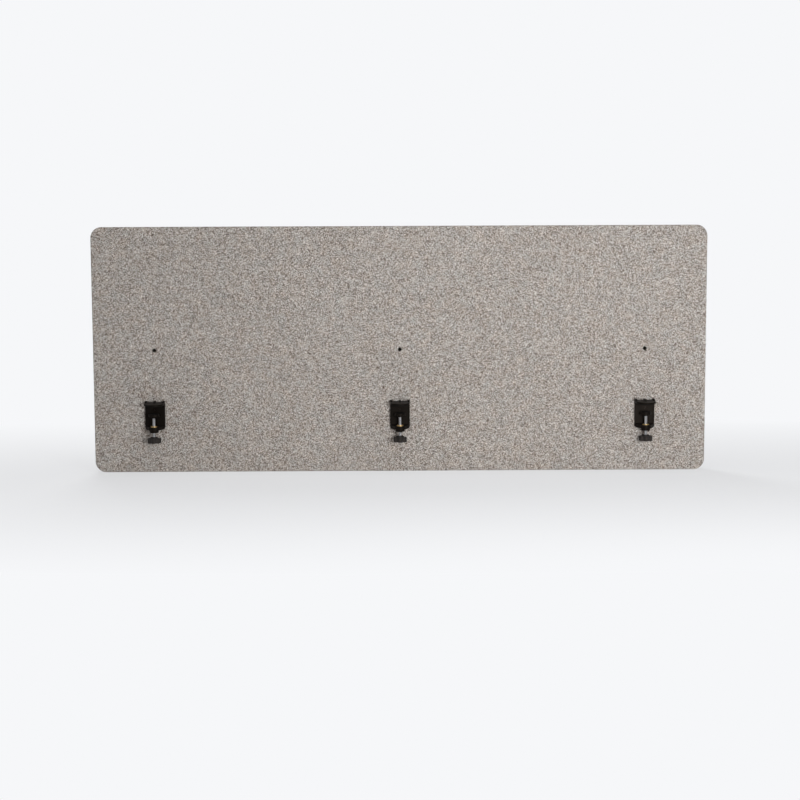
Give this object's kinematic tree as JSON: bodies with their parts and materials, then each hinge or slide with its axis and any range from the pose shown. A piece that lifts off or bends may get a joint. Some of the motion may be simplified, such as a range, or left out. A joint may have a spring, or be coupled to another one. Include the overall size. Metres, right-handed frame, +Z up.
{
  "type": "desk divider screen",
  "caption": "Wide felt divider panel with rounded corners, held on a board's far edge by round-nosed screw clamps, with straps behind and domed screws at half height.",
  "frame": {"origin": "on the middle clamp's screw axis, at the underside of its upper pad, where it meets the gripped board's top face", "axes": "+X along the panel to the viewer's right, +Y from the clamps' noses to the panel and away from the viewer, +Z up"},
  "size_m": [1.5, 0.0806, 0.6],
  "materials": {
    "felt": "matte",
    "clamp_black": "satin",
    "strap_black": "satin",
    "pad_rubber": "matte",
    "bush_brass": "satin",
    "screw_steel": "satin",
    "foot_steel": "satin",
    "ring_steel": "satin",
    "knob_plastic": "matte",
    "fastener_black": "satin"
  },
  "bodies": {
    "screen": {"panel": "felt", "clamp_bolts": "fastener_black", "clamp_barrel_nuts": "fastener_black", "stay_screws": "fastener_black", "stay_barrel_nuts": "fastener_black", "clamp_body_left": "clamp_black", "jaw_pad_left": "pad_rubber", "thread_bush_left": "bush_brass", "stay_strap_left": "strap_black", "clamp_body_mid": "clamp_black", "jaw_pad_mid": "pad_rubber", "thread_bush_mid": "bush_brass", "stay_strap_mid": "strap_black", "clamp_body_right": "clamp_black", "jaw_pad_right": "pad_rubber", "thread_bush_right": "bush_brass", "stay_strap_right": "strap_black"},
    "press_foot_left": {"foot_left": "foot_steel", "foot_pad_left": "pad_rubber"},
    "spindle_left": {"clamp_screw_left": "screw_steel", "knob_left": "knob_plastic", "foot_ring_left": "ring_steel"},
    "press_foot_mid": {"foot_mid": "foot_steel", "foot_pad_mid": "pad_rubber"},
    "spindle_mid": {"clamp_screw_mid": "screw_steel", "knob_mid": "knob_plastic", "foot_ring_mid": "ring_steel"},
    "press_foot_right": {"foot_right": "foot_steel", "foot_pad_right": "pad_rubber"},
    "spindle_right": {"clamp_screw_right": "screw_steel", "knob_right": "knob_plastic", "foot_ring_right": "ring_steel"}
  },
  "joints": [
    {"name": "foot_travel_left", "type": "slide", "parent": "screen", "child": "press_foot_left", "axis": [0, 0, 1], "range_m": [-0.019, 0.01]},
    {"name": "screw_turn_left", "type": "hinge", "parent": "press_foot_left", "child": "spindle_left", "pos_m": [-0.6, 0, -0.06], "axis": [0, 0, 1], "range_deg": [-5472, 2880]},
    {"name": "foot_travel_mid", "type": "slide", "parent": "screen", "child": "press_foot_mid", "axis": [0, 0, 1], "range_m": [-0.019, 0.01]},
    {"name": "screw_turn_mid", "type": "hinge", "parent": "press_foot_mid", "child": "spindle_mid", "pos_m": [0, 0, -0.06], "axis": [0, 0, 1], "range_deg": [-5472, 2880]},
    {"name": "foot_travel_right", "type": "slide", "parent": "screen", "child": "press_foot_right", "axis": [0, 0, 1], "range_m": [-0.019, 0.01]},
    {"name": "screw_turn_right", "type": "hinge", "parent": "press_foot_right", "child": "spindle_right", "pos_m": [0.6, 0, -0.06], "axis": [0, 0, 1], "range_deg": [-5472, 2880]}
  ],
  "couplings": [
    {"joint": "screw_turn_left", "follows": "foot_travel_left", "rad_per_m": 5026.5},
    {"joint": "screw_turn_mid", "follows": "foot_travel_mid", "rad_per_m": 5026.5},
    {"joint": "screw_turn_right", "follows": "foot_travel_right", "rad_per_m": 5026.5}
  ]
}
